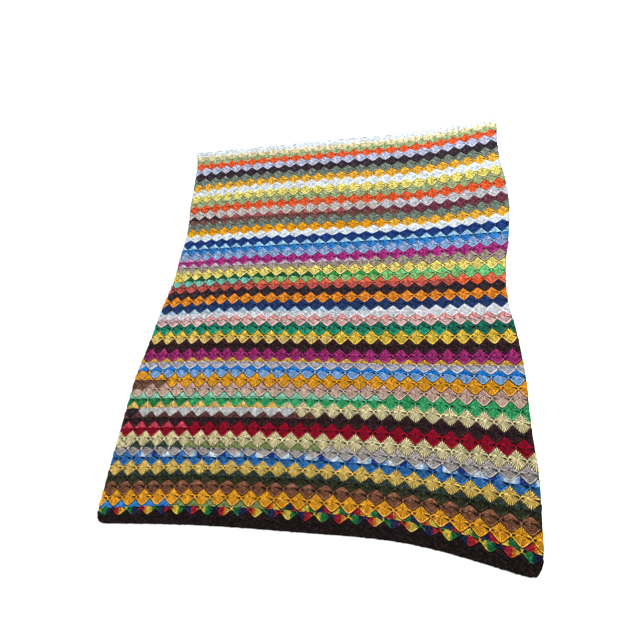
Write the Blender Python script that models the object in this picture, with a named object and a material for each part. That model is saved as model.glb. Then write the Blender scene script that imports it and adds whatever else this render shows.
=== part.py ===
"""A crocheted throw of Catherine wheels, worked in one piece and lying flat.

Metres, Z up. X runs across the throw, along its rows of wheels. Y runs up its
length, and the row lines are counted from the top edge down. The underside is
flat on z = 0, and the origin is under the middle of the throw.
"""

from collections import namedtuple

import bmesh
import bpy
from mathutils import Vector

MM = 0.001

# The pattern: wheels that meet at their corners, each row set half a wheel aside
WHEELS_ACROSS = 26
HALVES_ACROSS = 2 * WHEELS_ACROSS
LAST_LINE = 52

# Heights of the work above the surface that it lies on
HEART_HEIGHT = 3.2 * MM
KNOT_HEIGHT = 3.6 * MM
CREST_HEIGHT = 5.0 * MM
EDGE_HEIGHT = 2.6 * MM
EDGE_CREST_HEIGHT = 3.4 * MM

# How far each bottom corner is drawn in, along the edge and up the side
CORNER_DRAWN_IN = 7 * MM

YARN_COLOUR = (0.42, 0.23, 0.15, 1.0)
YARN_ROUGHNESS = 0.95

# How the throw lies: where a row line meets its left side, a quarter, the middle
# and three quarters of its wheels, and its right side. Each place is across and
# up the throw in millimetres, from under the middle of its bottom edge.
Section = namedtuple("Section", "line left quarter middle three_quarters right")
SECTIONS = (
    Section(0, (-629, 1512), (-323, 1512), (3, 1512), (328, 1513), (635, 1541)),
    Section(4, (-608, 1421), (-301, 1428), (18, 1428), (335, 1430), (632, 1468)),
    Section(8, (-597, 1301), (-293, 1316), (22, 1316), (339, 1317), (631, 1358)),
    Section(12, (-588, 1190), (-285, 1199), (30, 1199), (347, 1199), (646, 1243)),
    Section(16, (-573, 1070), (-276, 1080), (33, 1080), (355, 1082), (649, 1114)),
    Section(20, (-578, 960), (-279, 970), (33, 973), (342, 978), (637, 992)),
    Section(24, (-580, 848), (-284, 862), (26, 864), (332, 867), (620, 881)),
    Section(28, (-600, 731), (-294, 749), (21, 751), (331, 753), (618, 767)),
    Section(32, (-612, 613), (-298, 627), (20, 629), (339, 633), (636, 644)),
    Section(36, (-632, 490), (-305, 508), (19, 513), (338, 515), (648, 515)),
    Section(40, (-637, 360), (-313, 376), (14, 387), (336, 391), (649, 374)),
    Section(44, (-640, 230), (-318, 250), (12, 264), (336, 265), (656, 240)),
    Section(48, (-641, 108), (-319, 138), (9, 155), (329, 153), (652, 118)),
    Section(50, (-641, 44), (-319, 79), (8, 96), (327, 99), (648, 56)),
    Section(52, (-635, 0), (-318, 28), (5, 43), (322, 48), (636, 3)),
)
SHARES = (0.0, 0.25, 0.5, 0.75, 1.0)


def slope_at(knots, points, index):
    """The slope of a smooth curve at one of its points, from its neighbours."""
    before = max(index - 1, 0)
    after = min(index + 1, len(knots) - 1)
    return (points[after] - points[before]) / (knots[after] - knots[before])


def smooth_through(knots, points, at):
    """A place along a smooth curve that passes through all of the points."""
    index = 0
    while index < len(knots) - 2 and knots[index + 1] <= at:
        index += 1
    span = knots[index + 1] - knots[index]
    t = (at - knots[index]) / span
    place = points[index] * (1 + 2 * t) * (1 - t) ** 2
    place += points[index + 1] * (3 - 2 * t) * t * t
    place += slope_at(knots, points, index) * span * t * (1 - t) ** 2
    place -= slope_at(knots, points, index + 1) * span * t * t * (1 - t)
    return place


def stations_on(line):
    """The five measured places of a row line, whole or not, in metres."""
    lines = [section.line for section in SECTIONS]
    stations = []
    for column in Section._fields[1:]:
        points = [Vector(getattr(section, column)) * MM for section in SECTIONS]
        stations.append(smooth_through(lines, points, line))
    return stations


def places_on(line):
    """Where a row line's hearts and knots are, from the left side to the right."""
    stations = stations_on(line)
    halves = range(HALVES_ACROSS + 1)
    places = [smooth_through(SHARES, stations, half / HALVES_ACROSS) for half in halves]
    if line == LAST_LINE:
        places[0] += Vector((CORNER_DRAWN_IN, CORNER_DRAWN_IN))
        places[-1] += Vector((-CORNER_DRAWN_IN, CORNER_DRAWN_IN))
    return places


def is_heart(line, half):
    """A wheel's heart lies at every second point of a row line, knots between."""
    return (line + half) % 2 == 1


def on_side(half):
    return half in (0, HALVES_ACROSS)


def lattice_height(line, half):
    if on_side(half) or line in (0, LAST_LINE):
        return EDGE_HEIGHT
    return HEART_HEIGHT if is_heart(line, half) else KNOT_HEIGHT


def crest_height(half):
    """Half a wheel is thickest between its heart and the knot that it reaches."""
    return EDGE_CREST_HEIGHT if on_side(half) else CREST_HEIGHT


def add_points(bm):
    """Points at the hearts and knots, and crests halfway between row lines."""
    lattice, crests = {}, {}
    for line in range(LAST_LINE + 1):
        for half, place in enumerate(places_on(line)):
            lattice[line, half] = bm.verts.new((*place, lattice_height(line, half)))
    for line in range(LAST_LINE):
        for half, place in enumerate(places_on(line + 0.5)):
            crests[line, half] = bm.verts.new((*place, crest_height(half)))
    return lattice, crests


def add_cell(bm, corners, left_crest, right_crest, heart_first):
    """Four faces between two row lines, split along the edge of the wheels."""
    top_left, top_right, low_right, low_left = corners
    if heart_first:
        faces = (
            (top_left, left_crest, top_right),
            (left_crest, low_left, top_right),
            (top_right, low_left, right_crest),
            (low_left, low_right, right_crest),
        )
    else:
        faces = (
            (top_left, right_crest, top_right),
            (top_left, low_right, right_crest),
            (top_left, left_crest, low_right),
            (left_crest, low_left, low_right),
        )
    for face in faces:
        bm.faces.new(face)


def add_top(bm, lattice, crests):
    for line in range(LAST_LINE):
        for half in range(HALVES_ACROSS):
            corners = (
                lattice[line, half],
                lattice[line, half + 1],
                lattice[line + 1, half + 1],
                lattice[line + 1, half],
            )
            left_crest = crests[line, half]
            right_crest = crests[line, half + 1]
            add_cell(bm, corners, left_crest, right_crest, is_heart(line, half))


def outline_of(lattice, crests):
    """The points round the top's edge, anticlockwise seen from above."""
    outline = [lattice[LAST_LINE, half] for half in range(HALVES_ACROSS)]
    for line in reversed(range(LAST_LINE)):
        outline.append(lattice[line + 1, HALVES_ACROSS])
        outline.append(crests[line, HALVES_ACROSS])
    for half in reversed(range(HALVES_ACROSS)):
        outline.append(lattice[0, half + 1])
    for line in range(LAST_LINE):
        outline.append(lattice[line, 0])
        outline.append(crests[line, 0])
    return outline


def add_wall_and_underside(bm, outline):
    """The thin edge of the work, and the flat face that it lies on."""
    feet = [bm.verts.new((point.co.x, point.co.y, 0)) for point in outline]
    for index, foot in enumerate(feet):
        before = index - 1
        bm.faces.new((feet[before], foot, outline[index], outline[before]))
    bm.faces.new(reversed(feet))


def centre_on_origin(bm):
    """Moves the work so that the origin is under the middle of its outline."""
    for axis in (0, 1):
        reach = [point.co[axis] for point in bm.verts]
        middle = (min(reach) + max(reach)) / 2
        for point in bm.verts:
            point.co[axis] -= middle


def make_blanket():
    bm = bmesh.new()
    lattice, crests = add_points(bm)
    add_top(bm, lattice, crests)
    add_wall_and_underside(bm, outline_of(lattice, crests))
    centre_on_origin(bm)
    mesh = bpy.data.meshes.new("blanket")
    bm.to_mesh(mesh)
    bm.free()
    mesh.materials.append(make_yarn())
    blanket = bpy.data.objects.new("blanket", mesh)
    bpy.context.scene.collection.objects.link(blanket)


def make_yarn():
    yarn = bpy.data.materials.new("yarn")
    yarn.use_nodes = True
    shader = yarn.node_tree.nodes["Principled BSDF"]
    shader.inputs["Base Color"].default_value = YARN_COLOUR
    shader.inputs["Roughness"].default_value = YARN_ROUGHNESS
    shader.inputs["Metallic"].default_value = 0.0
    return yarn


def clear_scene():
    for item in list(bpy.data.objects):
        bpy.data.objects.remove(item)


clear_scene()
make_blanket()
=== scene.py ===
"""The crocheted throw of Catherine wheels as it looks, with its stitches in yarn.

Metres, Z up, in the frame of the CAD model: X runs across the throw along its rows
of wheels, and Y up its length. Row lines are counted from the top edge down. On
each of them lie the hearts of the wheels, at every second half, with knots between.
A wheel's posts fan out from its heart, and the next rows start where they end.
"""

import math
from collections import namedtuple

import bpy
import numpy as np
from mathutils import Matrix, Vector


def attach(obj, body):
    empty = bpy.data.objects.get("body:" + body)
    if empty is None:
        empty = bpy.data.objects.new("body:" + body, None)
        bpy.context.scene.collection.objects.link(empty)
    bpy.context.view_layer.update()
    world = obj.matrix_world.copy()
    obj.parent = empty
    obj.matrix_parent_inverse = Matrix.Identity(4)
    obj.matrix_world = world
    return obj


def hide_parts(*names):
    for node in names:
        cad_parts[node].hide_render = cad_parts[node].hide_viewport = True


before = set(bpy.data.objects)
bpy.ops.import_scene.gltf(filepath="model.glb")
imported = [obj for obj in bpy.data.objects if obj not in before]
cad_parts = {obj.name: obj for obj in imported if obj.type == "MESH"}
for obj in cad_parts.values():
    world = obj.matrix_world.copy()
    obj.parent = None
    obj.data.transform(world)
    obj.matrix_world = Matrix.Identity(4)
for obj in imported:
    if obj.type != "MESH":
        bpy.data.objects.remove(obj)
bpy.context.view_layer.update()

MM = 0.001

# The pattern, as in the CAD model
WHEELS_ACROSS = 26
HALVES_ACROSS = 2 * WHEELS_ACROSS
LAST_LINE = 52
CORNER_DRAWN_IN = 7 * MM

# How the throw lies: where a row line meets its left side, a quarter, the middle
# and three quarters of its wheels, and its right side. Each place is across and
# up the throw in millimetres, from under the middle of its bottom edge.
Section = namedtuple("Section", "line left quarter middle three_quarters right")
SECTIONS = (
    Section(0, (-629, 1512), (-323, 1512), (3, 1512), (328, 1513), (635, 1541)),
    Section(4, (-608, 1421), (-301, 1428), (18, 1428), (335, 1430), (632, 1468)),
    Section(8, (-597, 1301), (-293, 1316), (22, 1316), (339, 1317), (631, 1358)),
    Section(12, (-588, 1190), (-285, 1199), (30, 1199), (347, 1199), (646, 1243)),
    Section(16, (-573, 1070), (-276, 1080), (33, 1080), (355, 1082), (649, 1114)),
    Section(20, (-578, 960), (-279, 970), (33, 973), (342, 978), (637, 992)),
    Section(24, (-580, 848), (-284, 862), (26, 864), (332, 867), (620, 881)),
    Section(28, (-600, 731), (-294, 749), (21, 751), (331, 753), (618, 767)),
    Section(32, (-612, 613), (-298, 627), (20, 629), (339, 633), (636, 644)),
    Section(36, (-632, 490), (-305, 508), (19, 513), (338, 515), (648, 515)),
    Section(40, (-637, 360), (-313, 376), (14, 387), (336, 391), (649, 374)),
    Section(44, (-640, 230), (-318, 250), (12, 264), (336, 265), (656, 240)),
    Section(48, (-641, 108), (-319, 138), (9, 155), (329, 153), (652, 118)),
    Section(50, (-641, 44), (-319, 79), (8, 96), (327, 99), (648, 56)),
    Section(52, (-635, 0), (-318, 28), (5, 43), (322, 48), (636, 3)),
)
SHARES = np.array((0.0, 0.25, 0.5, 0.75, 1.0))
# How far up some row lines lie from that smooth course, in millimetres: at the left
# side, over the middle, and at the right side
Shift = namedtuple("Shift", "line left middle right")
SHIFTS = (
    Shift(0, 0, 0, 0),
    Shift(2, 8, 2, 6),
    Shift(4, 6, 3, 7),
    Shift(6, 5, 3.5, -1),
    Shift(8, 4, 3.5, -6),
    Shift(10, 2.5, 2.5, -8),
    Shift(13, 3.5, 4, -11),
    Shift(16, 5, 4, -4),
    Shift(17, 6.5, 4, -1),
    Shift(18, 11, 8, 5.5),
    Shift(19, 7, 5, 0),
    Shift(20, 4, 1, 1),
    Shift(22, 8, 3, 0.5),
    Shift(24, -1, 2.5, -5),
    Shift(25, 0, 1, -6),
    Shift(27, 4, 4, -1.5),
    Shift(29, 7, 5.5, -0.5),
    Shift(31, 14, 8, 4),
    Shift(34, 2.5, -0.5, 1),
    Shift(36, 2.5, 0, 1),
    Shift(38, 1, 2, 7),
    Shift(40, -0.5, 4, 8),
    Shift(42, -3, 4, 11.5),
    Shift(44, -0.5, 1, 10),
    Shift(45, -1.5, 3, 9.5),
    Shift(46, -2.5, 2, 9),
    Shift(48, 1, 2, 8),
    Shift(50, 1, 1.5, 3.5),
    Shift(52, 0, 0, 0),
)
# How fast the shifts at the sides fade inwards
SIDE_SHIFT_POWER = 3

# One wheel, from its heart's place on the row line
HALF_PITCH = 24.5 * MM
LINE_PITCH = 28.7 * MM
HEART_RISE = 1.2 * MM
KNOT_DROP = 4.8 * MM
TIP_RISE = 19.5 * MM
DOME_RISE = 16.0 * MM
SHOULDER_RISE = 2.8 * MM
HEART_HOLE = 2.2 * MM
# The edge from a tip to the knots: how far it bows, and how much of it is a round
# dome, in most rows and in the domed ones
EDGE_CURVE = 1.3
EDGE_ROUNDING = 0.45
DOME_ROUNDING = 0.8
EDGE_POINTS = 65
# The dark groove along each edge, at a tip and beside a knot
GROOVE_AT_TIP = 0.9 * MM
GROOVE_AT_KNOT = 2.3 * MM
# Where the first and last posts of each half point to, beside the knots
UPPER_START = (-21.5 * MM, -2.2 * MM)
UPPER_END = (22.0 * MM, -2.3 * MM)
LOWER_START = (-22.0 * MM, -7.8 * MM)
LOWER_END = (21.0 * MM, -9.6 * MM)

# Posts of half a wheel: how many, and what each is at shares of its length
POSTS = 11
POST_SHARES = np.array((0.0, 0.28, 0.6, 0.9, 1.0))
POST_WIDTHS = np.array((0.0, 0.35, 0.68, 1.0, 0.6))
POST_HEIGHTS = np.array((2.3, 4.0, 4.8, 4.6, 2.2)) * MM
# Their shades are painted shade: darker at the heart and at the end, where the posts dip down
POST_SHADES = np.array((0.75, 0.95, 1.0, 1.0, 0.85))
POST_LEAST_HALF_WIDTH = 0.7 * MM
# How much of its room at the edge a post fills
POST_FILL = 0.66
# How much further the posts of a toothed row reach, and how wide their ends are
TOOTH = 1.7 * MM
TOOTH_WIDTH = 0.36

# Arcs of half a wheel that was worked from the other side, at these shares of the
# way from its heart. The ends are narrower, and what is narrow is lower, with painted shade.
ARCS = np.array((0.2, 0.36, 0.52, 0.68, 0.84))
ARC_POINTS = 9
ARC_LEAN = 0.1
ARC_HALF_WIDTH = 1.45 * MM
ARC_HEIGHT = 4.7 * MM
ARC_END_WIDTH = 0.45
ARC_LEAST_HEIGHT = 0.55
ARC_LEAST_SHADE = 0.7

# The chain along the lower edge of a wheel, and the crossed threads of a knot, both paler with
# painted highlight
RIM_HALF_WIDTH = 1.15 * MM
RIM_HEIGHT = 4.5 * MM
RIM_HIGHLIGHT = 1.55
# How much of the edge is left out at each end, and how wide the chain begins
RIM_GAP = 0.02
RIM_END_WIDTH = 0.6
# The course of one of a knot's two threads, from where they cross
KNOT_THREAD = np.array(((-3.2, 6.6), (-1.1, 2.2), (1.3, -1.2), (3.8, -3.2))) * MM
KNOT_HALF_WIDTH = 1.1 * MM
KNOT_HEIGHT = 4.9 * MM
KNOT_HIGHLIGHT = 1.34
KNOT_END_WIDTH = 0.7
KNOT_END_RISE = 0.35
# The stitch that closes the row line between a heart and the knot on its left
BRIDGE_END = (-15.0 * MM, -2.6 * MM)
BRIDGE_SHARES = np.array((0.1, 0.4, 0.8, 1.0))
BRIDGE_HALF_WIDTHS = np.array((0.8, 1.9, 1.9, 0.7)) * MM
BRIDGE_HEIGHTS = np.array((2.3, 4.2, 4.5, 2.2)) * MM
# Its shades are painted shade, darker at its ends, where it dips down
BRIDGE_SHADES = np.array((0.6, 0.95, 1.0, 0.8))

# The ground behind the stitches, its top dark with painted shade, and the stitches' feet in
# painted shade
GROUND_HEIGHT = 1.9 * MM
GROUND_SHADE = 0.015
FOOT_HEIGHT = 1.6 * MM
FOOT_SHADE = 0.05
# How much lighter the painted shade of ground and feet is in white yarn, a painted glow
# for the light it lets through, and how little of that the other yarns have
WHITE_GLOW = 1.7
WHITE_GLOW_POWER = 5

# How dark a wheel's lower half is, which leans away from the light
LOWER_SHADE = 0.83

# Small differences between stitches
SEED = 26
WHEEL_JITTER = 0.6 * MM
SHADE_JITTER = 0.04
POST_JITTER = 0.35 * MM
STRAND_HEIGHTS = (0.94, 1.05)
STRAND_SHADES = (0.56, 1.0)

BANDS = ((0, 7), (8, 15), (16, 23), (24, 30), (31, 37), (38, 44), (45, 52))

# Yarns, in sRGB
YARNS = {
    "ice white": "#EAF3F8",
    "pale cream": "#F4E6B4",
    "sage": "#B0BE88",
    "tomato": "#FA6028",
    "lilac": "#CCD2EE",
    "aubergine": "#342430",
    "lichen": "#7E8E80",
    "amber": "#FFC038",
    "lemon": "#FFF07C",
    "stone": "#DCD0CA",
    "mist": "#D4D4DC",
    "soot": "#2A1E22",
    "dusty red": "#B4585A",
    "maroon": "#7A3548",
    "mauve brown": "#7E4C46",
    "yellow": "#FFC40F",
    "tangerine": "#FFAE0C",
    "royal navy": "#0E3A8A",
    "sky": "#B2E4FF",
    "azure": "#2A90EA",
    "periwinkle": "#9CBCEC",
    "fuchsia": "#BC2A8C",
    "rose": "#E0A0C8",
    "lilac grey": "#D2BCCC",
    "taupe": "#B4A496",
    "straw gold": "#FFEC7C",
    "forest": "#0B5A30",
    "leaf": "#2FA24A",
    "spring green": "#7EDE88",
    "mint": "#7FD6C0",
    "apple": "#94CE7A",
    "brick": "#A8504A",
    "coral": "#FF7850",
    "dusty brick": "#D85C50",
    "charcoal plum": "#30222A",
    "orange": "#FF9A24",
    "navy": "#1A3872",
    "ice blue": "#BFE0F5",
    "pearl": "#E6EAF0",
    "orchid": "#E3B4C8",
    "salmon": "#FFACA8",
    "blush": "#FACECA",
    "petrol": "#0E7660",
    "emerald": "#1CAC80",
    "golden": "#FFD848",
    "mustard": "#F6D470",
    "chocolate": "#34181C",
    "magenta": "#B6287E",
    "ochre": "#E6B040",
    "silver": "#D2D0DC",
    "bright blue": "#1088F0",
    "cornflower": "#88BAF2",
    "cobalt": "#2A78C4",
    "nut brown": "#7C503A",
    "rosy beige": "#DEB4A4",
    "peach": "#E4C2AC",
    "sea green": "#98E8C8",
    "green": "#38B870",
    "deep green": "#1E8A48",
    "corn": "#FFD470",
    "cream": "#F8EAB0",
    "chalk": "#E0E2E2",
    "red brown": "#663838",
    "coral pink": "#E04058",
    "crimson": "#A80020",
    "bottle green": "#2A3E34",
    "moss": "#849A58",
    "dove": "#C6BEBA",
    "old gold": "#F8D268",
    "olive": "#30341A",
    "milk chocolate": "#8A563A",
    "marigold": "#FFB01C",
    "plum brown": "#160606",
}

# The yarn of each row, above and below its hearts: one yarn from side to side, or
# several, each with the last wheel that it reaches, counted from the left
Row = namedtuple("Row", "upper lower")
END = WHEELS_ACROSS + 1
ROWS = (
    Row("ice white", "ice white"),
    Row("ice white", "ice white"),
    Row("pale cream", "pale cream"),
    Row("sage", "sage"),
    Row("tomato", "tomato"),
    Row("lilac", "lilac"),
    Row("aubergine", "aubergine"),
    Row("lichen", "lichen"),
    Row("amber", "amber"),
    Row("ice white", "ice white"),
    Row("lemon", "lemon"),
    Row("sage", "sage"),
    Row("tomato", "tomato"),
    Row((("stone", 17), ("mist", END)), (("stone", 17), ("mist", END))),
    Row((("soot", 3), ("dusty red", 14), ("maroon", END)), (("mauve brown", 18), ("maroon", END))),
    Row("lichen", "lichen"),
    Row((("tangerine", 17), ("amber", END)), (("yellow", 2), ("tangerine", 17), ("amber", END))),
    Row("ice white", "ice white"),
    Row("royal navy", "royal navy"),
    Row("sky", "azure"),
    Row("periwinkle", "periwinkle"),
    Row((("rose", 3), ("fuchsia", END)), "fuchsia"),
    Row((("lilac grey", 16), ("taupe", END)), "taupe"),
    Row("straw gold", "straw gold"),
    Row(
        (("golden", 1), ("forest", 12), ("leaf", 17), ("spring green", END)),
        (("mint", 7), ("apple", 23), ("spring green", END)),
    ),
    Row(
        (("brick", 8), ("coral", END)),
        (("dusty brick", 23), ("tomato", 25), ("coral", END)),
    ),
    Row("charcoal plum", "charcoal plum"),
    Row("orange", "orange"),
    Row("navy", "navy"),
    Row((("ice blue", 17), ("pearl", END)), "pearl"),
    Row((("orchid", 4), ("salmon", END)), "blush"),
    Row("petrol", (("emerald", 22), ("petrol", END))),
    Row("golden", (("mustard", 14), ("golden", END))),
    Row("chocolate", "chocolate"),
    Row("magenta", "magenta"),
    Row("ochre", "silver"),
    Row("bright blue", (("marigold", 1), ("cornflower", END))),
    Row("marigold", (("nut brown", 2.5), ("marigold", END))),
    Row((("nut brown", 1), ("rosy beige", END)), "peach"),
    Row((("sea green", 17.5), ("green", END)), (("deep green", 5), ("green", END))),
    Row((("corn", 11), ("cream", END)), (("soot", 1), ("chalk", 12), ("cream", END))),
    Row((("red brown", 14), ("chocolate", END)), "chocolate"),
    Row((("coral pink", 5), ("crimson", END)), "crimson"),
    Row("cream", "cream"),
    Row(
        (("cream", 1), ("bottle green", 5), ("moss", 14), ("dove", END)),
        "dove",
    ),
    Row((("cobalt", 1.5), ("variegated blues", END)), "cobalt"),
    Row("old gold", "old gold"),
    Row("bottle green", "olive"),
    Row("milk chocolate", "milk chocolate"),
    Row("marigold", "marigold"),
    Row((("azure", 5), ("moss", 11), ("rainbow", END)), "rainbow"),
    Row("plum brown", "plum brown"),
    Row("plum brown", "plum brown"),
)

# Yarns that change colour along their length: each stretch's colour, and how much
# of the repeat it takes
Variegated = namedtuple("Variegated", "repeat stretches")
VARIEGATED = {
    "variegated blues": Variegated(
        79 * MM, (("#10308C", 0.25), ("#3C86DC", 0.25), ("#DCEEF8", 0.35), ("#8CBCEC", 0.15))
    ),
    "rainbow": Variegated(
        88 * MM,
        (
            ("#16204E", 0.26),
            ("#B41428", 0.2),
            ("#E46E14", 0.1),
            ("#E6CE40", 0.22),
            ("#127A3C", 0.22),
        ),
    ),
}

# How much of a repeat the upper halves are ahead of the lower ones
UPPER_LEAD = 0.4

# Rows whose posts end in teeth, rows whose tops are domes, rows whose wheels are
# closed on both sides, and rows whose upper or lower halves show arcs
TOOTHED_ROWS = (40, 43, 46)
DOMED_ROWS = (35, 36, 48)
CLOSED_ROWS = (21, 34, 42)
UPPER_ARC_ROWS = (48,)
ARC_ROWS = (19, 21, 30, 31, 33, 34, 35, 41, 42, 44, 45, 47, 48, 51)


def linear(code):
    """A colour from its sRGB code."""
    coded = np.array([int(code[at : at + 2], 16) / 255 for at in (1, 3, 5)])
    return np.where(coded <= 0.04045, coded / 12.92, ((coded + 0.055) / 1.055) ** 2.4)


COLOURS = {name: linear(code) for name, code in YARNS.items()}
BRIGHTNESS_OF_RGB = np.array((0.21, 0.72, 0.07))


def variegated_colours(yarn, upper, across):
    """Colours along a yarn that changes colour, at these places across the throw."""
    kind = VARIEGATED[yarn]
    ends = np.cumsum([share for _, share in kind.stretches])
    lead = UPPER_LEAD if upper else 0.0
    at = (across / kind.repeat + lead) % 1.0 * ends[-1]
    stretch = np.minimum(np.searchsorted(ends, at), len(ends) - 1)
    return np.array([linear(code) for code, _ in kind.stretches])[stretch]


def yarn_at(runs, wheel):
    """The yarn at this wheel of a row, which has one yarn or several."""
    if isinstance(runs, str):
        return runs
    return next(yarn for yarn, last in runs if wheel <= last)


def colours_at(line, upper, half, across):
    """The yarn's colour in one half of a wheel, at these places across the throw."""
    row = ROWS[line]
    yarn = yarn_at(row.upper if upper else row.lower, (half + 1) / 2)
    if yarn in VARIEGATED:
        return variegated_colours(yarn, upper, across)
    return np.broadcast_to(COLOURS[yarn], (*np.shape(across), 3))


def with_painted_light(colours, shades):
    """The colours made darker by shades under 1 and paler, a painted highlight, by shades over 1.
    """
    darker = colours * np.minimum(shades, 1)
    brightness = colours @ BRIGHTNESS_OF_RGB
    paler = (1 - colours) * brightness[..., None] * np.maximum(shades - 1, 0)
    return darker + paler


def painted_depth_shade(colours, shade):
    """The colours with painted shade for down between the stitches, less where the yarn is white.
    """
    glow = WHITE_GLOW * colours.min(-1, keepdims=True) ** WHITE_GLOW_POWER
    return colours * (shade + (1 - shade) * glow)


def slopes_of(knots, points):
    """The slope of a smooth curve at each of its points, from its neighbours."""
    before = np.maximum(np.arange(len(knots)) - 1, 0)
    after = np.minimum(np.arange(len(knots)) + 1, len(knots) - 1)
    spans = (knots[after] - knots[before]).reshape(-1, *[1] * (points.ndim - 1))
    return (points[after] - points[before]) / spans


def between(start, end, start_slope, end_slope, t):
    """A smooth step from start to end. The slopes are for the whole step."""
    place = start * (1 + 2 * t) * (1 - t) ** 2
    place = place + end * (3 - 2 * t) * t * t
    place = place + start_slope * t * (1 - t) ** 2
    return place - end_slope * t * t * (1 - t)


LINES = np.array([float(section.line) for section in SECTIONS])
STATIONS = np.array([section[1:] for section in SECTIONS]) * MM
STATION_SLOPES = slopes_of(LINES, STATIONS)
SHIFT_LINES, *SHIFT_COLUMNS = np.array(SHIFTS).T


def stations_at(lines):
    """The five places of each row line, whole or not."""
    index = np.clip(np.searchsorted(LINES, lines, side="right") - 1, 0, len(LINES) - 2)
    span = (LINES[index + 1] - LINES[index])[:, None, None]
    t = (lines - LINES[index])[:, None, None] / span
    return between(
        STATIONS[index],
        STATIONS[index + 1],
        STATION_SLOPES[index] * span,
        STATION_SLOPES[index + 1] * span,
        t,
    )


def shifts_at(lines, share):
    """How far up points lie from the smooth course. The sides' shifts fade inwards."""
    left, middle, right = (np.interp(lines, SHIFT_LINES, column) for column in SHIFT_COLUMNS)
    at_side = abs(2 * share - 1) ** SIDE_SHIFT_POWER
    side = np.where(share < 0.5, left, right)
    return (middle + (side - middle) * at_side) * MM


def places_at(lines, halves):
    """Where points of the pattern lie, across and up the throw."""
    shape = np.shape(lines)
    lines = np.ravel(lines)
    halves = np.ravel(halves)
    stations = stations_at(lines).transpose(1, 0, 2)
    slopes = slopes_of(SHARES, stations)
    share = halves / HALVES_ACROSS
    quarters = len(SHARES) - 1
    index = np.clip(np.floor(share * quarters).astype(int), 0, quarters - 1)
    points = np.arange(len(lines))
    t = (share * quarters - index)[:, None]
    places = between(
        stations[index, points],
        stations[index + 1, points],
        slopes[index, points] / quarters,
        slopes[index + 1, points] / quarters,
        t,
    )
    places[:, 1] += shifts_at(lines, share)
    near_bottom = np.clip(lines - LAST_LINE + 1, 0, 1)
    for side, inwards in ((halves, 1), (HALVES_ACROSS - halves, -1)):
        drawn = CORNER_DRAWN_IN * near_bottom * np.clip(1 - side, 0, 1)
        places[:, 0] += inwards * drawn
        places[:, 1] += drawn
    return places.reshape(*shape, 2)


def middle_of_outline():
    """The middle of the CAD model's outline, which is moved to the origin."""
    lines = np.arange(0, LAST_LINE + 0.5, 0.5)
    halves = np.arange(HALVES_ACROSS + 1.0)
    places = places_at(*np.meshgrid(lines, halves))
    return (places.min((0, 1)) + places.max((0, 1))) / 2


MIDDLE = middle_of_outline()


def fall_of(share, domed):
    """How far a wheel's upper edge has come down, from 0 at the tip to 1 at a side."""
    share = np.clip(share, 0, 1)
    dome = (1 - np.cos(np.pi * share)) / 2
    point = 1 - (1 - share) ** EDGE_CURVE
    rounding = DOME_ROUNDING if domed else EDGE_ROUNDING
    return dome * rounding + point * (1 - rounding)


def upper_rise(across, domed):
    """How high a wheel's upper edge is above the row line."""
    top = DOME_RISE if domed else TIP_RISE
    return top - (top - SHOULDER_RISE) * fall_of(abs(across) / HALF_PITCH, domed)


def lower_rise(across, next_domed):
    """The same for its lower edge, which the upper edges of the next row leave."""
    return upper_rise(HALF_PITCH - abs(across), next_domed) - LINE_PITCH


def even_points(path, shares):
    """Points at these shares of the length of a path."""
    steps = np.linalg.norm(np.diff(path, axis=0), axis=1)
    length = np.concatenate(([0.0], np.cumsum(steps))) / steps.sum()
    return np.stack([np.interp(shares, length, path[:, axis]) for axis in (0, 1)], 1)


def upper_path(domed):
    """The edge that upper posts reach, from the left knot over the tip to the right."""
    across = np.linspace(-HALF_PITCH, HALF_PITCH, EDGE_POINTS)
    curve = np.stack([across, upper_rise(across, domed)], 1)
    return np.concatenate(((UPPER_START,), curve, (UPPER_END,)))


def lower_path(next_domed):
    """The edge that lower posts reach, from the left knot under the tip to the right."""
    across = np.linspace(-HALF_PITCH, HALF_PITCH, EDGE_POINTS)
    curve = np.stack([across, lower_rise(across, next_domed)], 1)
    return np.concatenate(((LOWER_START,), curve, (LOWER_END,)))


HEART = np.array((0.0, HEART_RISE))

# Strands of one half wheel: paths from the heart's place on the row line, half
# widths, heights and shades, each for every point of every strand
Strands = namedtuple("Strands", "paths half_widths heights shades")


def rising(least, share):
    """From least, where the share is 0, to 1, where it is 1."""
    return least + (1 - least) * share


def groove_at(ends):
    """How far the stitches keep back from an edge, at these points of it."""
    share = (ends[:, 0] / HALF_PITCH) ** 2
    return GROOVE_AT_TIP + (GROOVE_AT_KNOT - GROOVE_AT_TIP) * share


def fan(path, toothed):
    """Posts from the heart to an edge."""
    shares = (np.arange(POSTS) + 0.5) / POSTS
    ends = even_points(path, shares)
    reach = ends - HEART
    length = np.linalg.norm(reach, axis=1, keepdims=True)
    ahead = reach / length
    rims = even_points(path, np.arange(POSTS + 1) / POSTS)
    gaps = np.diff(rims, axis=0)
    half_widths = abs(ahead[:, 0] * gaps[:, 1] - ahead[:, 1] * gaps[:, 0]) / 2 * POST_FILL
    extra = (TOOTH if toothed else 0) - groove_at(ends)[:, None]
    along = HEART_HOLE + POST_SHARES * (length + extra - HEART_HOLE)
    paths = HEART + ahead[:, None] * along[:, :, None]
    widths = POST_WIDTHS.copy()
    if toothed:
        widths[-1] = TOOTH_WIDTH
    half_widths = np.maximum(half_widths[:, None] * widths, POST_LEAST_HALF_WIDTH)
    heights = np.broadcast_to(POST_HEIGHTS, (POSTS, len(widths)))
    shades = np.broadcast_to(POST_SHADES, (POSTS, len(widths)))
    return Strands(paths, half_widths, heights, shades)


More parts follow.
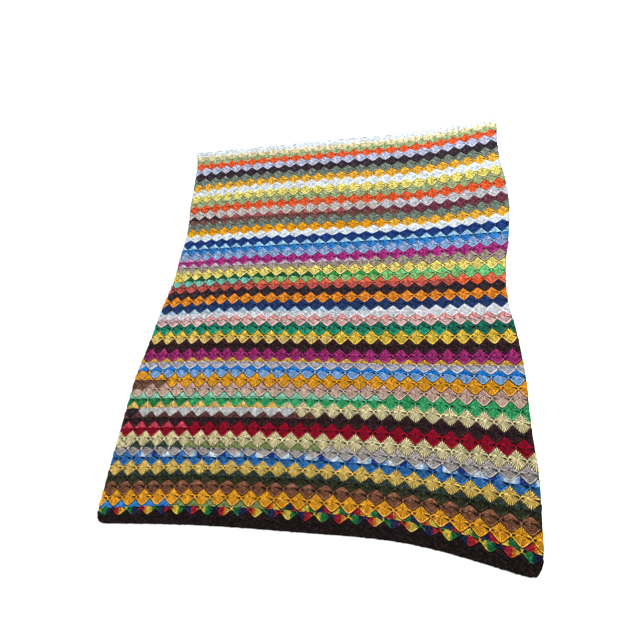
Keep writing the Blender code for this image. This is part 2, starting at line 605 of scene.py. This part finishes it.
def arcs(path):
    """Arcs round the heart, each a smaller copy of the edge, leaning to one side."""
    shares = np.linspace(0.0, 1.0, ARC_POINTS)
    edge = even_points(path, shares)
    scale = ARCS[:, None] + ARC_LEAN * (0.5 - shares)
    paths = HEART + (edge - HEART) * scale[:, :, None]
    width = rising(ARC_END_WIDTH, np.sqrt(np.sin(np.pi * shares).clip(0)))
    half_widths = np.broadcast_to(ARC_HALF_WIDTH * width, scale.shape)
    heights = np.broadcast_to(ARC_HEIGHT * rising(ARC_LEAST_HEIGHT, width), scale.shape)
    shades = np.broadcast_to(rising(ARC_LEAST_SHADE, width), scale.shape)
    return Strands(paths, half_widths, heights, shades)


def rim(path):
    """The chain along an edge."""
    shares = np.linspace(RIM_GAP, 1 - RIM_GAP, ARC_POINTS)
    edge = even_points(path, shares)
    reach = edge - HEART
    length = np.linalg.norm(reach, axis=1, keepdims=True)
    paths = HEART + reach * (1 - (groove_at(edge)[:, None] + RIM_HALF_WIDTH) / length)
    width = np.minimum(1, RIM_END_WIDTH + 4 * shares * (1 - shares))
    return Strands(
        paths[None],
        (RIM_HALF_WIDTH * width)[None],
        (RIM_HEIGHT * width)[None],
        np.full((1, ARC_POINTS), RIM_HIGHLIGHT),
    )


def knot():
    """Two threads that cross at the knot on a wheel's right."""
    centre = np.array((HALF_PITCH, -KNOT_DROP))
    mirrors = np.array(((1, 1), (-1, 1)))
    paths = centre + KNOT_THREAD * mirrors[:, None]
    middle = 1 - np.linspace(-1.0, 1.0, len(KNOT_THREAD)) ** 2
    half_widths = KNOT_HALF_WIDTH * rising(KNOT_END_WIDTH, middle)
    heights = FOOT_HEIGHT + (KNOT_HEIGHT - FOOT_HEIGHT) * rising(KNOT_END_RISE, middle)
    shape = paths.shape[:2]
    return Strands(
        paths,
        np.broadcast_to(half_widths, shape),
        np.broadcast_to(heights, shape),
        np.full(shape, KNOT_HIGHLIGHT),
    )


def bridge(side):
    """The stitch that closes the row line on a wheel's left, or on its right."""
    end = np.array(BRIDGE_END) * (-side, 1)
    path = HEART + (end - HEART) * BRIDGE_SHARES[:, None]
    return Strands(
        path[None], BRIDGE_HALF_WIDTHS[None], BRIDGE_HEIGHTS[None], BRIDGE_SHADES[None]
    )


UPPER_FANS = {
    (domed, toothed): fan(upper_path(domed), toothed)
    for domed in (False, True)
    for toothed in (False, True)
}
LOWER_FANS = {
    (domed, toothed): fan(lower_path(domed), toothed)
    for domed in (False, True)
    for toothed in (False, True)
}
UPPER_ARCS = arcs(upper_path(True))
LOWER_ARCS = {domed: arcs(lower_path(domed)) for domed in (False, True)}
LOWER_RIMS = {domed: rim(lower_path(domed)) for domed in (False, True)}
KNOT = knot()
LEFT_BRIDGE = bridge(-1)
RIGHT_BRIDGE = bridge(1)


def strands_of(line, half):
    """The strands of one wheel, each set with whether it is of the upper half."""
    upper_shows = line > 0
    lower_shows = line < LAST_LINE
    toothed = line in TOOTHED_ROWS
    next_domed = line + 1 in DOMED_ROWS
    if upper_shows and line in UPPER_ARC_ROWS:
        yield UPPER_ARCS, True
    elif upper_shows:
        yield UPPER_FANS[line in DOMED_ROWS, toothed], True
    if lower_shows and line in ARC_ROWS:
        yield LOWER_ARCS[next_domed], False
    elif lower_shows:
        yield LOWER_FANS[next_domed, toothed], False
    if lower_shows and not toothed:
        yield LOWER_RIMS[next_domed], False
    if half < HALVES_ACROSS - 1 and upper_shows and lower_shows:
        yield KNOT, False
    if half > 0 and upper_shows and lower_shows:
        yield LEFT_BRIDGE, False
    if half < HALVES_ACROSS and line in CLOSED_ROWS:
        yield RIGHT_BRIDGE, False


class Yarnwork:
    """Strands of yarn gathered into one mesh. A strand is half a tube, open below."""

    # Across a strand: how far out each line of points is, and whether it is on top
    PROFILE_OUT = np.array((-1.0, -0.5, 0.5, 1.0))
    PROFILE_TOP = np.array((False, True, True, False))

    def __init__(self):
        self.points = []
        self.faces = []
        self.colours = []
        self.strand_uvs = []
        self.count = 0

    def add(self, paths, half_widths, heights, colours):
        """paths is strands x points x 2, in place. The rest has one for each point."""
        strands, length = paths.shape[:2]
        ahead = np.gradient(paths, axis=1)
        ahead /= np.linalg.norm(ahead, axis=2, keepdims=True)
        aside = np.stack([-ahead[:, :, 1], ahead[:, :, 0]], 2)
        out = self.PROFILE_OUT[:, None] * aside[:, :, None] * half_widths[:, :, None, None]
        flat = paths[:, :, None] + out
        up = np.where(self.PROFILE_TOP, heights[:, :, None], FOOT_HEIGHT)
        on_top = self.PROFILE_TOP[:, None]
        # The feet at the sides of each strand get painted shade in its yarn's colour
        across = np.where(on_top, colours[:, :, None], painted_depth_shade(colours, FOOT_SHADE)[:, :, None])
        self.points.append(np.concatenate([flat, up[..., None]], 3).reshape(-1, 3))
        self.colours.append(across.reshape(-1, 3))
        steps = np.linalg.norm(np.diff(paths, axis=1), axis=2)
        run = np.concatenate([np.zeros((strands, 1)), np.cumsum(steps, 1)], 1)
        aside = half_widths[:, :, None] * self.PROFILE_OUT
        along = np.broadcast_to(run[:, :, None], aside.shape)
        self.strand_uvs.append(np.stack([along, aside], 3).reshape(-1, 2))
        self.add_faces(strands, length)

    def add_faces(self, strands, length):
        wide = len(self.PROFILE_OUT)
        strand, ring, column = np.meshgrid(
            np.arange(strands), np.arange(length - 1), np.arange(wide - 1), indexing="ij"
        )
        first = (strand * length + ring) * wide + column + self.count
        face = np.stack([first, first + 1, first + wide + 1, first + wide], -1)
        self.faces.append(face.reshape(-1, 4)[:, ::-1])
        self.count += strands * length * wide

    def make(self, name, material):
        """The piece, with the place along and across its strand at each corner."""
        points = np.concatenate(self.points)
        faces = np.concatenate(self.faces)
        colours = np.concatenate(self.colours)
        mesh = mesh_from(name, points, faces, colours[faces].reshape(-1, 3), material)
        strand = mesh.uv_layers.new(name="Strand")
        strand_uvs = np.concatenate(self.strand_uvs)[faces]
        strand.uv.foreach_set("vector", strand_uvs.astype(np.float32).ravel())
        return new_piece(name, mesh)


def mesh_from(name, points, faces, corner_colours, material):
    """A mesh with a colour at each corner and a flat map of the throw for its bake."""
    mesh = bpy.data.meshes.new(name)
    mesh.from_pydata(points.tolist(), [], faces.tolist())
    mesh.shade_smooth()
    # Each corner's colour is its yarn's, with painted shade and painted highlight in it
    colours = mesh.color_attributes.new("yarn", "FLOAT_COLOR", "CORNER")
    opaque = np.ones((len(corner_colours), 1))
    rgba = np.concatenate([corner_colours, opaque], 1)
    colours.data.foreach_set("color", rgba.astype(np.float32).ravel())
    low = points.min(0)[:2]
    span = np.ptp(points, axis=0)[:2]
    flat = (points[:, :2] - low) / span
    layer = mesh.uv_layers.new(name="OFBake")
    layer.uv.foreach_set("vector", flat[faces].astype(np.float32).ravel())
    mesh.materials.append(material)
    return mesh


def new_piece(name, mesh):
    """A piece of the throw, in yarn."""
    piece = bpy.data.objects.new(name, mesh)
    bpy.context.scene.collection.objects.link(piece)
    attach(piece, "root")
    return piece


def placed(paths, line, half):
    """Paths round a wheel's place on its row line, as the throw lies."""
    lines = line - paths[..., 1] / LINE_PITCH
    halves = half + paths[..., 0] / HALF_PITCH
    return places_at(lines, halves) - MIDDLE


# How far strands may pass the side of the throw in its half wheels
SIDE_OVERHANG = 1 * MM


def within_throw(strands, half):
    """The strands, or those on the inner side of a half wheel at a side of the throw."""
    inwards = {0: 1, HALVES_ACROSS: -1}.get(half)
    if inwards is None:
        return strands
    inner = strands.paths[:, :, 0] * inwards > -SIDE_OVERHANG
    if inner.all(1).any():
        return Strands(*(part[inner.all(1)] for part in strands))
    points = inner.all(0)
    return Strands(*(part[:, points] for part in strands))


def add_wheel(work, line, half, rng):
    """One wheel, or half of one at a side of the throw."""
    moved = rng.uniform(-WHEEL_JITTER, WHEEL_JITTER, 2)
    wheel_shade = 1 + rng.uniform(-SHADE_JITTER, SHADE_JITTER)
    for strands, upper in strands_of(line, half):
        strands = within_throw(strands, half)
        count = len(strands.paths)
        paths = strands.paths + moved
        paths = paths + rng.uniform(-POST_JITTER, POST_JITTER, (count, 1, 2))
        places = placed(paths, line, half)
        heights = strands.heights * rng.uniform(*STRAND_HEIGHTS, (count, 1))
        jitter = rng.uniform(*STRAND_SHADES, (count, 1))
        # Shades: the strands' painted shade and highlight, random tone, and painted shade on lower
        # halves
        shades = strands.shades * wheel_shade * jitter * (1 if upper else LOWER_SHADE)
        yarn = colours_at(line, upper, half, places[:, :, 0])
        work.add(places, strands.half_widths, heights, with_painted_light(yarn, shades[:, :, None]))


def hearts_on(line):
    """The halves at which a row line has its hearts."""
    return range((line + 1) % 2, HALVES_ACROSS + 1, 2)


def make_stitches(material):
    """The wheels, in bands of rows."""
    pieces = []
    rng = np.random.default_rng(SEED)
    for first, last in BANDS:
        work = Yarnwork()
        for line in range(first, last + 1):
            for half in hearts_on(line):
                add_wheel(work, line, half, rng)
        pieces.append(work.make(f"stitches_of_rows_{first}_to_{last}", material))
    return pieces


def edge_share(line, half):
    """How far below a row line the next row's wheels begin, in lines."""
    domed = line + 1 in DOMED_ROWS
    is_tip_of_next = (line + half) % 2 == 0
    rise = upper_rise(0.0 if is_tip_of_next else HALF_PITCH, domed)
    return 1 - float(rise) / LINE_PITCH


def ground_lines():
    """For each row of ground points, its place in lines at each half."""
    levels = []
    for line in range(LAST_LINE + 1):
        levels.append([float(line)] * (HALVES_ACROSS + 1))
        if line < LAST_LINE:
            levels.append([line + edge_share(line, half) for half in range(HALVES_ACROSS + 1)])
    return np.array(levels)


def ground_colour(strip, column, across):
    """The yarn of a ground face. Strips run between row lines and wheels' edges."""
    line = (strip + 1) // 2
    upper = strip % 2 == 1
    half = column if (line + column) % 2 == 1 else column + 1
    return colours_at(line, upper, half, across)


def make_ground(material):
    """The thin closed sheet that the stitches stand on. Its top is painted shade; its underside
    shows yarn.
    """
    lines = ground_lines()
    halves = np.broadcast_to(np.arange(HALVES_ACROSS + 1.0), lines.shape)
    places = places_at(lines, halves) - MIDDLE
    rows, columns = lines.shape
    top = np.concatenate([places, np.full((rows, columns, 1), GROUND_HEIGHT)], 2)
    low = np.concatenate([places, np.zeros((rows, columns, 1))], 2)
    points = np.concatenate([top.reshape(-1, 3), low.reshape(-1, 3)])
    index = np.arange(rows * columns).reshape(rows, columns)
    under = index + rows * columns
    faces = []
    colours = []
    for strip in range(rows - 1):
        for column in range(columns - 1):
            middle = places[strip, column : column + 2, 0].mean()
            colour = ground_colour(strip, column, middle)
            corners = (
                (strip, column),
                (strip + 1, column),
                (strip + 1, column + 1),
                (strip, column + 1),
            )
            faces.append([index[corner] for corner in corners])
            # The top face gets painted shade, the face under it the yarn's own colour
            colours.append(painted_depth_shade(colour, GROUND_SHADE))
            faces.append([under[corner] for corner in reversed(corners)])
            colours.append(colour)
            for side, start, end in (
                (column == 0, corners[1], corners[0]),
                (column == columns - 2, corners[3], corners[2]),
                (strip == 0, corners[0], corners[3]),
                (strip == rows - 2, corners[2], corners[1]),
            ):
                if side:
                    faces.append([index[start], index[end], under[end], under[start]])
                    colours.append(colour)
    corner_colours = np.repeat(np.array(colours), 4, axis=0)
    mesh = mesh_from("ground", points, np.array(faces), corner_colours, material)
    return new_piece("ground_sheet", mesh)


# The surface of the yarn. Noise scales are to the metre and depths in metres.
ROUGHNESS = 0.85
SPECULAR = 0.1
SHEEN = 0.03
SHEEN_ROUGHNESS = 0.45
MOTTLE_SCALE = 170.0
MOTTLE_DETAIL = 4.0
# Over which noise the yarn goes from dark to light, and how dark and light it is
MOTTLE_NOISE = (0.3, 0.7)
MOTTLE_TONE = (0.58, 1.18)
# Over which noise its fibres get a painted glint, how much painted highlight that adds,
# and how pale its colour is beside the yarn's own
GLINT_NOISE = (0.48, 0.72)
PAINTED_GLINT_LIGHT = (0.0, 0.17)
GLINT_GAMMA = 0.35
FUZZ_SCALE = 1100.0
FUZZ_DETAIL = 3.0
FUZZ_STRENGTH = 0.5
FUZZ_DEPTH = 0.6 * MM
PLY_SCALE = 95.0
PLY_UNEVENNESS = 1.0
PLY_SLANT = math.radians(40)
PLY_STRENGTH = 0.6
PLY_DEPTH = 0.8 * MM


def new_node(nodes, kind, settings=(), **inputs):
    """A node with its settings and inputs. A _ in an input's name is a space."""
    node = nodes.new(kind)
    for setting, value in dict(settings).items():
        setattr(node, setting, value)
    for socket, value in inputs.items():
        node.inputs[socket.replace("_", " ")].default_value = value
    return node


def new_range(nodes, taken, given):
    """A node that turns one range of numbers into another."""
    return new_node(
        nodes,
        "ShaderNodeMapRange",
        From_Min=taken[0],
        From_Max=taken[1],
        To_Min=given[0],
        To_Max=given[1],
    )


def make_yarn(name, with_ply):
    """Matt spun yarn: the stitch's colour and painted light, mottled, painted glints, fuzzy,
    twisted.
    """
    yarn = bpy.data.materials.new(name)
    yarn.use_nodes = True
    nodes = yarn.node_tree.nodes
    links = yarn.node_tree.links
    shader = nodes["Principled BSDF"]
    shader.inputs["Roughness"].default_value = ROUGHNESS
    shader.inputs["Specular IOR Level"].default_value = SPECULAR
    shader.inputs["Sheen Weight"].default_value = SHEEN
    shader.inputs["Sheen Roughness"].default_value = SHEEN_ROUGHNESS

    colour = new_node(nodes, "ShaderNodeVertexColor", {"layer_name": "yarn"})
    where = new_node(nodes, "ShaderNodeTexCoord")
    mottle = new_node(nodes, "ShaderNodeTexNoise", Scale=MOTTLE_SCALE, Detail=MOTTLE_DETAIL)
    tone = new_range(nodes, MOTTLE_NOISE, MOTTLE_TONE)
    toned = new_node(nodes, "ShaderNodeVectorMath", {"operation": "SCALE"})
    links.new(where.outputs["Object"], mottle.inputs["Vector"])
    links.new(mottle.outputs["Fac"], tone.inputs["Value"])
    links.new(colour.outputs["Color"], toned.inputs[0])
    links.new(tone.outputs["Result"], toned.inputs["Scale"])

    # Painted glints: a paler copy of the colour added where the noise is high
    glint = new_range(nodes, GLINT_NOISE, PAINTED_GLINT_LIGHT)
    pale = new_node(nodes, "ShaderNodeGamma", Gamma=GLINT_GAMMA)
    painted_glints = new_node(nodes, "ShaderNodeVectorMath", {"operation": "SCALE"})
    glinted = new_node(nodes, "ShaderNodeVectorMath", {"operation": "ADD"})
    links.new(mottle.outputs["Fac"], glint.inputs["Value"])
    links.new(colour.outputs["Color"], pale.inputs["Color"])
    links.new(pale.outputs["Color"], painted_glints.inputs[0])
    links.new(glint.outputs["Result"], painted_glints.inputs["Scale"])
    links.new(toned.outputs["Vector"], glinted.inputs[0])
    links.new(painted_glints.outputs["Vector"], glinted.inputs[1])
    links.new(glinted.outputs["Vector"], shader.inputs["Base Color"])

    fuzz = new_node(nodes, "ShaderNodeTexNoise", Scale=FUZZ_SCALE, Detail=FUZZ_DETAIL)
    relief = new_node(nodes, "ShaderNodeBump", Strength=FUZZ_STRENGTH, Distance=FUZZ_DEPTH)
    links.new(where.outputs["Object"], fuzz.inputs["Vector"])
    links.new(fuzz.outputs["Fac"], relief.inputs["Height"])
    links.new(relief.outputs["Normal"], shader.inputs["Normal"])
    if with_ply:
        add_ply(nodes, links, relief)
    return yarn


def add_ply(nodes, links, relief):
    """Slanting twists along each strand, under the fuzz."""
    strand = new_node(nodes, "ShaderNodeUVMap", {"uv_map": "Strand"})
    slant = new_node(nodes, "ShaderNodeMapping", Rotation=(0.0, 0.0, PLY_SLANT))
    ply = new_node(nodes, "ShaderNodeTexWave", Scale=PLY_SCALE, Distortion=PLY_UNEVENNESS)
    twist = new_node(nodes, "ShaderNodeBump", Strength=PLY_STRENGTH, Distance=PLY_DEPTH)
    links.new(strand.outputs["UV"], slant.inputs["Vector"])
    links.new(slant.outputs["Vector"], ply.inputs["Vector"])
    links.new(ply.outputs["Fac"], twist.inputs["Height"])
    links.new(twist.outputs["Normal"], relief.inputs["Normal"])


# The photograph's view of the throw
LENS = 23.52
SENSOR = 36.0
CAMERA_PLACE = (341.3 * MM, 147.7 * MM, 1277.6 * MM)
CAMERA_RIGHT = (0.97385, 0.09198, -0.20776)
CAMERA_UP = (-0.00274, 0.91907, 0.39409)
CAMERA_BACK = (0.22719, -0.38321, 0.89528)

# The floor, just under the throw, and soft daylight
FLOOR_REACH = 6.0
FLOOR_DROP = 0.5 * MM
FLOOR_TONE = 0.86
FLOOR_ROUGHNESS = 0.8
SKY_STRENGTH = 1.1
AreaLight = namedtuple("AreaLight", "name place target size power")
AREA_LIGHTS = (
    AreaLight("window", (1.3, 1.8, 1.7), (0.3, 0.4, 0.0), size=1.4, power=104.0),
    AreaLight("fill", (0.2, -1.6, 2.6), (0.1, -0.3, 0.0), size=2.0, power=24.0),
)


def make_camera():
    """The camera, whose place is given from under the middle of the bottom edge."""
    camera = bpy.data.objects.new("camera", bpy.data.cameras.new("camera"))
    camera.data.lens = LENS
    camera.data.sensor_width = SENSOR
    turned = Matrix((CAMERA_RIGHT, CAMERA_UP, CAMERA_BACK)).transposed()
    place = Vector(CAMERA_PLACE) - Vector((*MIDDLE, 0.0))
    camera.matrix_world = Matrix.Translation(place) @ turned.to_4x4()
    bpy.context.scene.collection.objects.link(camera)
    bpy.context.scene.camera = camera


def make_floor():
    reach = FLOOR_REACH
    corners = [(-reach, -reach, 0), (reach, -reach, 0), (reach, reach, 0), (-reach, reach, 0)]
    mesh = bpy.data.meshes.new("floor")
    mesh.from_pydata(corners, [], [(0, 1, 2, 3)])
    pale = bpy.data.materials.new("floor")
    pale.use_nodes = True
    shader = pale.node_tree.nodes["Principled BSDF"]
    shader.inputs["Base Color"].default_value = (FLOOR_TONE, FLOOR_TONE, FLOOR_TONE, 1.0)
    shader.inputs["Roughness"].default_value = FLOOR_ROUGHNESS
    mesh.materials.append(pale)
    floor = bpy.data.objects.new("floor", mesh)
    floor.location.z = -FLOOR_DROP
    bpy.context.scene.collection.objects.link(floor)


def make_area_light(kind):
    """A round soft light that faces its target."""
    light = bpy.data.objects.new(kind.name, bpy.data.lights.new(kind.name, "AREA"))
    light.data.shape = "DISK"
    light.data.size = kind.size
    light.data.energy = kind.power
    light.location = kind.place
    towards = Vector(kind.target) - Vector(kind.place)
    light.rotation_euler = towards.to_track_quat("-Z", "Y").to_euler()
    bpy.context.scene.collection.objects.link(light)


def make_lights():
    world = bpy.context.scene.world or bpy.data.worlds.new("world")
    bpy.context.scene.world = world
    world.use_nodes = True
    background = world.node_tree.nodes["Background"]
    background.inputs["Color"].default_value = (1.0, 1.0, 1.0, 1.0)
    background.inputs["Strength"].default_value = SKY_STRENGTH
    for kind in AREA_LIGHTS:
        make_area_light(kind)


bpy.context.scene.view_settings.view_transform = "Standard"
make_camera()
make_floor()
make_lights()
stitches = make_stitches(make_yarn("yarn_stitches", with_ply=True))
ground = make_ground(make_yarn("yarn_ground", with_ply=False))
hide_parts("blanket")
